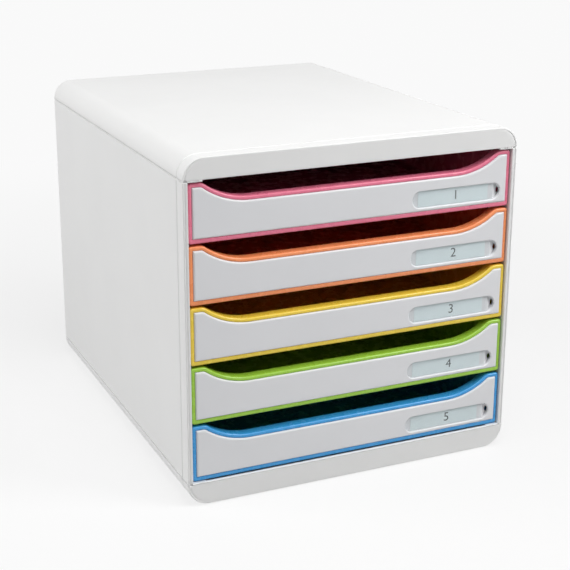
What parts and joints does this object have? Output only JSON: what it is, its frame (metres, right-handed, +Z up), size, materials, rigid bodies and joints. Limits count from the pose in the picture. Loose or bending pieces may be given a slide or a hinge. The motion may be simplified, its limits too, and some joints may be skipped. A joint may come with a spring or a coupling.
{
  "type": "desktop drawer tower",
  "caption": "Desktop tower of coloured sliding drawers in a white moulded casing; each drawer has a dipped front with a finger opening, a facing plate and a label pocket.",
  "frame": {"origin": "centre of the footprint on the table, under the feet", "axes": "+Z up; the drawer fronts face -Y and the drawers slide out along -Y; +X is to the right as seen from the front"},
  "size_m": [0.278, 0.347, 0.271],
  "materials": {
    "casing_white": "satin, very finely textured injection-moulded polystyrene",
    "tray_pink": "smooth injection-moulded polystyrene, semi-gloss",
    "tray_orange": "smooth injection-moulded polystyrene, semi-gloss",
    "tray_yellow": "smooth injection-moulded polystyrene, semi-gloss",
    "tray_green": "smooth injection-moulded polystyrene, semi-gloss",
    "tray_blue": "smooth injection-moulded polystyrene, semi-gloss",
    "plate_white": "satin injection-moulded plastic",
    "window_clear": "clear polystyrene, polished",
    "label_card": "uncoated paper card",
    "foot_rubber": "matt soft rubber"
  },
  "bodies": {
    "casing": {"top_cover": "casing_white", "base": "casing_white", "left_side_panel": "casing_white", "right_side_panel": "casing_white", "back_panel": "casing_white", "foot_front_left": "foot_rubber", "foot_front_right": "foot_rubber", "foot_rear_left": "foot_rubber", "foot_rear_right": "foot_rubber"},
    "drawer_1": {"drawer_tray_1": "tray_pink", "front_plate_1": "plate_white", "label_window_1": "window_clear", "label_card_1": "label_card"},
    "drawer_2": {"drawer_tray_2": "tray_orange", "front_plate_2": "plate_white", "label_window_2": "window_clear", "label_card_2": "label_card"},
    "drawer_3": {"drawer_tray_3": "tray_yellow", "front_plate_3": "plate_white", "label_window_3": "window_clear", "label_card_3": "label_card"},
    "drawer_4": {"drawer_tray_4": "tray_green", "front_plate_4": "plate_white", "label_window_4": "window_clear", "label_card_4": "label_card"},
    "drawer_5": {"drawer_tray_5": "tray_blue", "front_plate_5": "plate_white", "label_window_5": "window_clear", "label_card_5": "label_card"}
  },
  "joints": [
    {"name": "drawer_1_slide", "type": "slide", "parent": "casing", "child": "drawer_1", "axis": [0, -1, 0], "range_m": [0, 0.269]},
    {"name": "drawer_2_slide", "type": "slide", "parent": "casing", "child": "drawer_2", "axis": [0, -1, 0], "range_m": [0, 0.269]},
    {"name": "drawer_3_slide", "type": "slide", "parent": "casing", "child": "drawer_3", "axis": [0, -1, 0], "range_m": [0, 0.269]},
    {"name": "drawer_4_slide", "type": "slide", "parent": "casing", "child": "drawer_4", "axis": [0, -1, 0], "range_m": [0, 0.269]},
    {"name": "drawer_5_slide", "type": "slide", "parent": "casing", "child": "drawer_5", "axis": [0, -1, 0], "range_m": [0, 0.269]}
  ]
}
